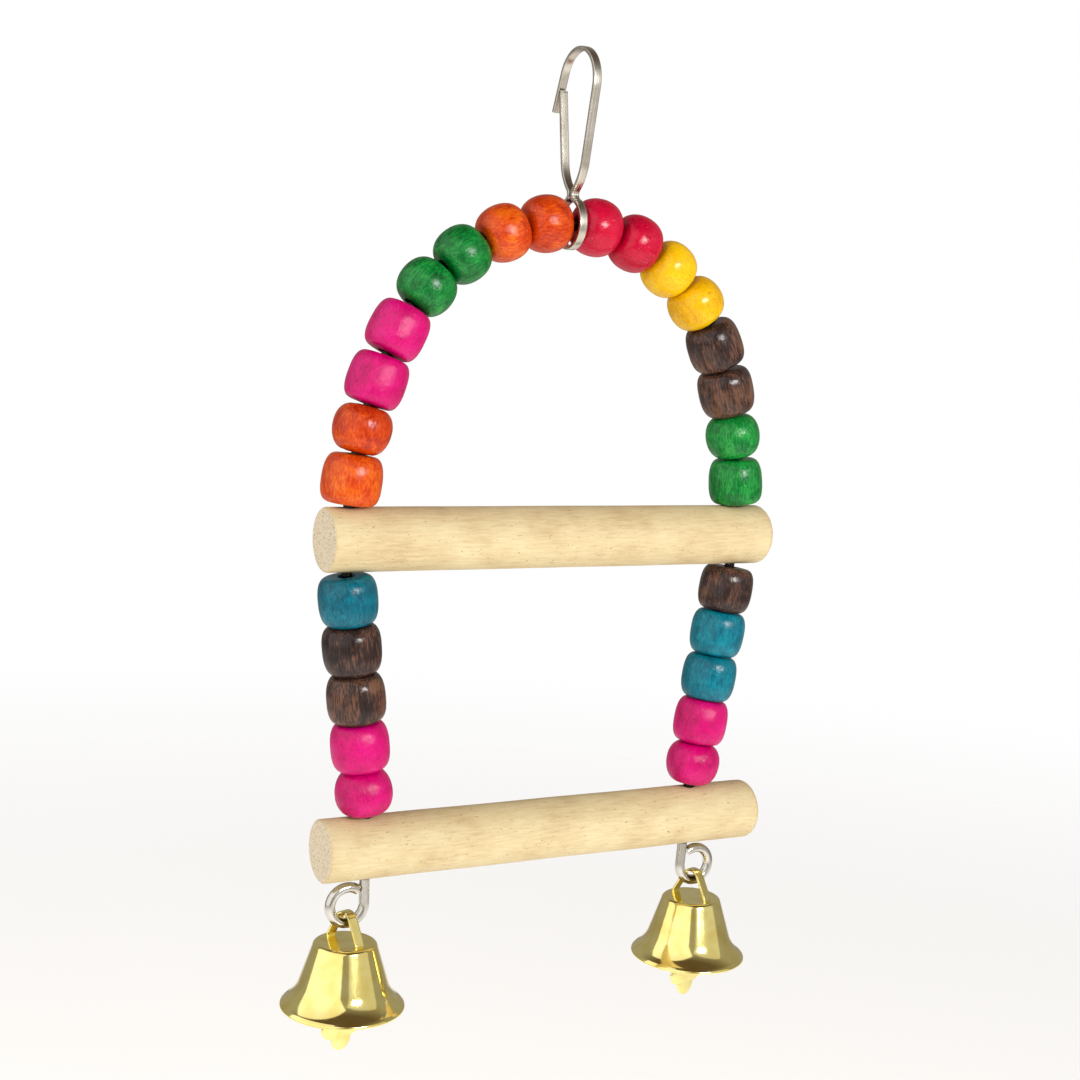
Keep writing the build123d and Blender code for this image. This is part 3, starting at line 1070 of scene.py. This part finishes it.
@dataclass
class SpringClip:
    """The hanging clip, one strip bent in the YZ plane. Sizes are in millimetres on the strip's inner
    face, and angles in degrees. Y runs to the right and Z up: the plain side is on the left, and on the
    right the spring leg closes behind the tip."""

    joints: Joints
    width: float = 1.6
    thickness: float = 0.8
    seat_radius: float = 5.9
    neck_radius: float = 1.65
    hip_radius: float = 9.0
    side_taper: float = 10.0
    tip_flare: float = 20.0
    latch_gap: float = 0.25
    latch_overlap: float = 3.6
    step: float = 0.15
    columns: int = 40

    NECK_REACH = 3  # radii of the neck over which the spring leg bends

    def side(self) -> tuple[np.ndarray, np.ndarray]:
        """One side's middle line, from the lowest point of the eye round to the neck, and on through the
        hip to where it touches the bar's seat.

        Returns:
            Points by Y and Z for the eye and half of the neck, and for the rest of it.
        """
        half = self.thickness / 2
        wire = self.joints.place("swing_hinge")[1:] / MM
        neck = self.joints.place("spring_leg_flex")[1:] / MM
        eye_radius = math.dist(wire, neck) - self.neck_radius
        taper = math.radians(self.side_taper)
        outward = np.array([math.cos(taper), -math.sin(taper)])
        downward = np.array([-math.sin(taper), -math.cos(taper)])
        line = outward * (self.seat_radius - self.hip_radius)
        aside = (neck - line) @ outward
        reach = self.hip_radius + self.neck_radius
        hip = line + downward * ((neck - line) @ downward - math.sqrt(reach**2 - aside**2))
        to_wire, to_hip = bearing(neck, wire), bearing(neck, hip)
        eye = arc(wire, eye_radius + half, -90, 90 + bearing(wire, neck), 60)
        into_neck = arc(neck, self.neck_radius - half, to_wire + 360, -180 - to_wire, 24)
        out_of_neck = arc(neck, self.neck_radius - half, 180, to_hip - 180, 24)
        out_hip = arc(hip, self.hip_radius + half, to_hip - 180, 180 - self.side_taper - to_hip, 24)
        seat = outward * (self.seat_radius + half)
        return np.concatenate([eye, into_neck]), np.concatenate([out_of_neck, out_hip, seat[None]])

    def build(self) -> None:
        """Sweeps the fixed strip, from its tip over the seat and round the wire to the neck, and the spring
        leg, which bends away from it at the neck. Dresses the strip, and gives the leg the plate's finish."""
        half = self.thickness / 2
        lower, upper = self.side()
        taper, flare = math.radians(self.side_taper), math.radians(self.tip_flare)
        room = self.seat_radius - self.latch_gap
        room -= (self.seat_radius + self.thickness) * math.cos(flare) / math.cos(taper)
        latch = room / (math.tan(taper) * math.cos(flare) + math.sin(flare))
        tip_run = (self.seat_radius * math.sin(flare) - latch + self.latch_overlap) / math.cos(flare)
        seat_turn = 180 + self.side_taper - self.tip_flare
        seat = arc((0, 0), self.seat_radius + half, self.tip_flare, seat_turn, 90)
        tip = seat[0] + tip_run * np.array([math.sin(flare), -math.cos(flare)])
        mirrored = np.concatenate([lower, upper])[::-1] * (-1, 1)
        fixed = np.concatenate([tip[None], seat, mirrored, lower[1:]])
        rise = self.seat_radius * math.sin(taper) + latch
        top = upper[-1] + rise * np.array([math.sin(taper), math.cos(taper)])
        leg = np.concatenate([upper, top[None]])
        strip = make_piece("bent_clip_strip", self.bent(fixed))
        dress(strip, CLIP_PLATE, "clip", "clip_strip")
        spring = make_piece("bent_spring_leg", self.bent(leg))
        neck = self.joints.place("spring_leg_flex")
        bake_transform(spring)
        spring.data.materials.append(CLIP_PLATE.material())
        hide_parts("clip_spring_leg")
        LOG.info("%s bends from clip to spring_leg, %d faces", spring.name, len(spring.data.polygons))

    def bent(self, line: np.ndarray) -> Skin:
        """Sweeps the strip's rounded oblong section along a line of Y and Z."""
        even = spaced(line, self.step)
        path = np.column_stack([np.zeros(len(even)), even])
        section = loop(self.thickness / 2, self.width / 2, STRIP_SQUARENESS, self.columns)
        return sweep(path, section, ALONG)


# Bells


@dataclass
class Bell:
    """A small bell: a pressed shell, the strap that hangs it and carries its clapper, and the clapper.

    Sizes are in millimetres. Heights are measured from the axis that the bell hangs on.
    """

    joints: Joints
    side: str
    crown_drop: float = 3.6
    height: float = 12.9
    wall: float = 0.5
    crown_radius: float = 5.9
    crown_rounding: float = 0.9
    waist_radius: float = 8.5
    waist_drop: float = 8.0
    mouth_radius: float = 11.8
    lip: float = 0.9
    lip_rounding: float = 0.5
    strap_width: float = 2.0
    strap_thickness: float = 0.5
    strap_inside: float = 4.05
    strap_bend: float = 0.5
    strap_seam: float = 0.2
    hanger_radius: float = 1.9
    knee_rise: float = 0.15
    clapper_thickness: float = 0.6
    clapper_bore: float = 2.76
    clapper_rim: float = 1.0
    clapper_stem: float = 2.6
    clapper_show: float = 8.6
    lobe_radius: float = 2.3
    lobe_spread: float = 2.4
    lobe_rise: float = 2.6
    shell_step: float = 0.12
    strap_step: float = 0.1
    columns: int = 144
    clapper_rows: int = 240
    clapper_columns: int = 24

    DRILL_REACH = 1.0
    DRILL_COLUMNS = 48

    def hang(self) -> np.ndarray:
        """The middle of the axis that the bell hangs on, in metres."""
        return self.joints.place(f"{self.side}_bell_swing")

    def along_bar(self) -> np.ndarray:
        """The unit direction of the strap's cross bar, on which the clapper swings."""
        return self.joints.axis(f"{self.side}_clapper_swing")

    def shell(self) -> None:
        """Turns the wall: flat crown, rounded shoulder, straight side, flare and a lip with a round edge.
        The inner face lies one wall inside the outer one, along its normal."""
        crown = -self.crown_drop
        mouth = crown - self.height
        waist = np.array([self.waist_radius, crown - self.waist_drop])
        slope = waist - (self.crown_radius, crown)
        lean = math.degrees(math.atan2(slope[0], -slope[1]))
        turn = self.crown_rounding * math.tan(math.radians(90 - lean) / 2)
        shoulder_middle = (self.crown_radius - turn, crown - self.crown_rounding)
        shoulder = arc(shoulder_middle, self.crown_rounding, 90, lean - 90, 14)
        edge = np.array([self.mouth_radius, mouth + self.lip])
        normal = np.array([math.cos(math.radians(lean)), math.sin(math.radians(lean))])
        chord = edge - waist
        flare_radius = chord @ chord / (2 * chord @ normal)
        middle = waist + normal * flare_radius
        flare = arc(middle, flare_radius, 180 + lean, bearing(middle, edge) + 360 - 180 - lean, 40)
        top = np.linspace((NEAR_AXIS, crown), shoulder[0], 12)[:-1]
        side = np.linspace(shoulder[-1], waist, 24)[1:]
        lip_middle = (self.mouth_radius - self.lip_rounding, mouth + self.lip_rounding)
        round_lip = arc(lip_middle, self.lip_rounding, 40, -40, 8)
        outside = np.concatenate([top, shoulder, side, flare[1:-4], round_lip])
        outside = spaced(outside, self.shell_step)
        along = np.gradient(outside, axis=0)
        along /= np.linalg.norm(along, axis=1, keepdims=True)
        inside = outside + self.wall * np.column_stack([along[:, 1], -along[:, 0]])
        inside[:, 0] = np.maximum(inside[:, 0], NEAR_AXIS)
        rim_middle = (outside[-1] + inside[-1]) / 2
        rim = arc(rim_middle, self.wall / 2, 0, -180, 10)
        profile = np.concatenate([outside[:-1], rim, inside[-2::-1]])
        skin = turned(profile, self.hang(), UP, self.columns)
        piece = make_piece(f"pressed_{self.side}_bell", skin)
        dress(piece, BELL_BRASS, f"{self.side}_bell", f"{self.side}_bell_shell")

    def strap(self) -> None:
        """Sweeps the strap: along the cross bar, up a leg, over the wire's eye and down the other leg."""
        half = self.strap_thickness / 2
        bend = self.strap_bend + half
        pivot = (self.joints.place(f"{self.side}_clapper_swing") - self.hang())[2] / MM
        knee = (self.strap_inside - self.strap_bend, self.knee_rise - self.crown_drop)
        heel = (knee[0], pivot + half + self.strap_bend)
        hanger = self.hanger_radius + half
        splay = bearing((0, 0), knee) + math.degrees(
            math.acos((self.hanger_radius - self.strap_bend) / math.hypot(*knee))
        )
        bar = np.array([[self.strap_seam - self.strap_inside, pivot]])
        foot = np.array([[-self.strap_inside - half, pivot - half]])
        line = np.concatenate(
            [
                bar,
                arc(heel, bend, -90, 90, 12),
                arc(knee, bend, 0, splay, 12),
                arc((0, 0), hanger, splay, 180 - 2 * splay, 24),
                arc((-knee[0], knee[1]), bend, 180 - splay, splay, 12),
                foot,
            ]
        )
        bar_way = self.along_bar()
        path = spaced(line, self.strap_step) @ np.array([bar_way, UP]) + self.hang() / MM
        section = loop(half, self.strap_width / 2, STRIP_SQUARENESS, 36)
        skin = sweep(path, section, np.cross(bar_way, UP))
        piece = make_piece(f"bent_{self.side}_bell_strap", skin)
        dress(piece, BELL_BRASS, f"{self.side}_bell", f"{self.side}_bell_strap")

    def clapper(self) -> None:
        """Cuts the clapper from flat sheet with rounded edges. At each height its half width is the widest
        of the ring round the cross bar, the stem and the three lobes; each row is a flat oblong of that
        width with half-round edges."""
        pivot = self.joints.place(f"{self.side}_clapper_swing")
        drop = (self.hang() - pivot)[2] / MM
        reach = self.crown_drop + self.height + self.clapper_show - drop
        ring = self.clapper_bore / 2 + self.clapper_rim
        half = self.clapper_thickness / 2
        bottom = reach - self.lobe_radius
        blend = np.linspace(0, np.pi, self.clapper_rows)
        down = (reach + ring) / 2 * (1 - np.cos(blend)) - ring

        def lobe(middle: float, radius: float, spread: float) -> np.ndarray:
            """The reach of a round lobe to the side, at each height, or nothing where it doesn't lie."""
            inside = radius**2 - (down - middle) ** 2
            return np.where(inside > 0, spread + np.sqrt(np.maximum(inside, 0)), 0)

        stem = np.where((down > 0) & (down < bottom), self.clapper_stem / 2, 0)
        side_lobes = lobe(bottom - self.lobe_rise, self.lobe_radius, self.lobe_spread)
        widths = np.maximum.reduce([lobe(0, ring, 0), stem, side_lobes, lobe(bottom, self.lobe_radius, 0)])
        flat = np.maximum(widths - half, 0)[:, None]
        angle = np.linspace(0, 2 * np.pi, self.clapper_columns, endpoint=False)[None, :]
        across = np.sign(np.round(np.cos(angle), 6)) * flat + half * np.cos(angle)
        through = np.repeat(half * np.sin(angle), len(down), axis=0)
        heights = np.repeat(-down[:, None], angle.size, axis=1)
        bar_way = self.along_bar()
        frame = np.array([np.cross(bar_way, UP), bar_way, UP])
        points = np.stack([across, through, heights], axis=-1) @ frame * MM + pivot
        piece = make_piece(f"stamped_{self.side}_clapper", Skin(points))
        bit = turned(drill_bit(self.clapper_bore, self.DRILL_REACH), np.zeros(3), UP, self.DRILL_COLUMNS)
        drill(piece, [Skin(bit.points[..., [0, 2, 1]] @ frame + pivot)])
        dress(piece, BELL_BRASS, f"{self.side}_clapper", f"{self.side}_bell_clapper")

    def build(self) -> None:
        """Makes the shell, the strap and the clapper."""
        self.shell()
        self.strap()
        self.clapper()


# Studio


@dataclass(frozen=True)
class Softbox:
    """A soft lamp. Its angles are seen from the swing: to the right of the camera, and above level.

    Attributes:
        name: The lamp's name.
        right: Degrees to the right of the camera.
        above: Degrees above level.
        size: Width and height, in metres.
        power: Watts.
        distance: From the swing, in metres.
    """

    name: str
    right: float
    above: float
    size: tuple[float, float]
    power: float
    distance: float = 0.75


def looking(yaw: float, pitch: float) -> Vector:
    """The unit direction turned by a yaw from +Y to the right and a pitch down, in degrees."""
    yaw, pitch = math.radians(yaw), math.radians(pitch)
    return Vector((math.sin(yaw) * math.cos(pitch), math.cos(yaw) * math.cos(pitch), -math.sin(pitch)))


@dataclass
class Studio:
    """Pale floor, white surroundings, soft lamps and the camera.

    Lengths are in metres, and angles in degrees. The camera's angles are those of the reference view.
    """

    floor_height: float = -0.40
    floor_radius: float = 1.4
    floor_columns: int = 96
    floor_fade: tuple[float, float] = (0.25, 0.98)  # of its radius
    floor_glow: float = 0.52
    aim: tuple[float, float, float] = (0.0, 0.0, -0.095)
    camera_place: tuple[float, float, float] = (-0.1671, -0.2959, -0.0388)
    yaw: float = 29.09
    pitch: float = 7.96
    roll: float = 3.56
    lens: float = 59.23
    lamps: tuple[Softbox, ...] = (
        Softbox("key", 38, 17, (0.24, 0.16), 3.3, 0.7),
        Softbox("window", -50, 25, (1.7, 1.2), 6.2),
        Softbox("fill", 55, 12, (1.2, 0.9), 1.2, 0.85),
    )

    def floor(self) -> None:
        """Lays a pale disc, lit a little from below, that fades into the white surroundings at its edge."""
        flat = loop(self.floor_radius, self.floor_radius, 2, self.floor_columns)
        ring = np.column_stack([flat, np.full(self.floor_columns, self.floor_height)])
        mesh = bpy.data.meshes.new("floor")
        mesh.from_pydata(ring.tolist(), [], [list(range(self.floor_columns))])
        floor = bpy.data.objects.new("floor", mesh)
        bpy.context.scene.collection.objects.link(floor)
        material, tree = new_material("opal_acrylic_floor")
        place = add_node(tree, "TexCoord").outputs["Object"]
        level = add_node(tree, "Mapping", {"Vector": place, "Scale": (1, 1, 0)})
        out = add_node(tree, "VectorMath", {0: level.outputs[0]}, operation="LENGTH").outputs["Value"]
        near, far = (share * self.floor_radius for share in self.floor_fade)
        fade = add_node(
            tree,
            "MapRange",
            {"Value": out, "From Min": near, "From Max": far},
            interpolation_type="SMOOTHSTEP",
        )
        acrylic = add_node(
            tree,
            "BsdfPrincipled",
            {
                "Base Color": linear("#F6F5F2"),
                "Roughness": 0.9,
                "Specular IOR Level": 0.0,
                "Emission Color": linear("#FFFFFF"),
                "Emission Strength": self.floor_glow,
            },
        )
        clear = add_node(tree, "BsdfTransparent")
        both = add_node(tree, "MixShader", {0: fade.outputs[0], 1: acrylic.outputs[0], 2: clear.outputs[0]})
        add_node(tree, "OutputMaterial", {"Surface": both.outputs[0]})
        mesh.materials.append(material)

    def surroundings(self) -> None:
        """Makes the white surroundings, which light the swing softly and are darker below."""
        world = bpy.data.worlds.new("surroundings")
        world.use_nodes = True
        tree = world.node_tree
        tree.nodes.clear()
        way = add_node(tree, "TexCoord").outputs["Generated"]
        parts = add_node(tree, "SeparateXYZ", {0: way})
        height = add_node(tree, "MapRange", {"Value": parts.outputs["Z"], "From Min": -1.0, "From Max": 1.0})
        glow = add_node(
            tree,
            "ValToRGB",
            {"Fac": height.outputs[0]},
            stops=((0.25, "#A89C8E"), (0.93, "#7C6A5A"), (0.5, "#CCC8C2"), (0.78, "#CCC8C2")),
        )
        around = add_node(tree, "Background", {"Color": glow.outputs["Color"], "Strength": 0.6})
        behind = add_node(tree, "Background", {"Color": linear("#FFFFFF"), "Strength": 1.0})
        seen = add_node(tree, "LightPath").outputs["Is Camera Ray"]
        both = add_node(tree, "MixShader", {0: seen, 1: around.outputs[0], 2: behind.outputs[0]})
        add_node(tree, "OutputWorld", {"Surface": both.outputs[0]})
        bpy.context.scene.world = world

    def lights(self) -> None:
        """Hangs the soft lamps round the swing, each turned to it."""
        for box in self.lamps:
            lamp = bpy.data.lights.new(box.name, "AREA")
            lamp.shape = "RECTANGLE"
            lamp.size, lamp.size_y = box.size
            lamp.energy = box.power
            way = -looking(self.yaw - box.right, box.above)
            holder = bpy.data.objects.new(box.name, lamp)
            holder.location = Vector(self.aim) + way * box.distance
            holder.rotation_euler = way.to_track_quat("Z", "Y").to_euler()
            holder.visible_camera = False
            bpy.context.scene.collection.objects.link(holder)

    def camera(self) -> None:
        """Sets up the camera: yaw to the right of +Y, pitch down, roll of its right side up."""
        roll = math.radians(self.roll)
        forward = looking(self.yaw, self.pitch)
        level = looking(self.yaw + 90, 0)
        upright = level.cross(forward)
        right = level * math.cos(roll) + upright * math.sin(roll)
        up = right.cross(forward)
        lens = bpy.data.cameras.new("camera")
        lens.lens = self.lens
        lens.sensor_width = 36.0
        lens.clip_start = 0.01
        camera = bpy.data.objects.new("camera", lens)
        turn = Matrix((right, up, -forward)).transposed().to_4x4()
        camera.matrix_world = Matrix.Translation(self.camera_place) @ turn
        bpy.context.scene.collection.objects.link(camera)
        bpy.context.scene.camera = camera

    def build(self) -> None:
        """Makes the floor, the surroundings, the lamps and the camera."""
        self.floor()
        self.surroundings()
        self.lights()
        self.camera()
        bpy.context.scene.view_settings.view_transform = "Standard"


def main() -> None:
    """Loads the frame, builds each sub-assembly and the studio."""
    logging.basicConfig(level=logging.INFO, format="%(name)s: %(message)s")
    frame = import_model()
    joints = Joints({row["name"]: row for row in frame["joints"]})

    arch = WireArch(joints)
    arch.build()
    for seed, (name, (shapes, dome, dyes)) in enumerate(STRINGS.items()):
        BeadString(joints, name, shapes, dyes, seed, dome).build()
    for node in ("upper_perch", "lower_perch"):
        Perch(node, arch).build()
    SpringClip(joints).build()
    for side in SIDES:
        Bell(joints, side).build()
    Studio().build()


if __name__ == "__main__":
    main()
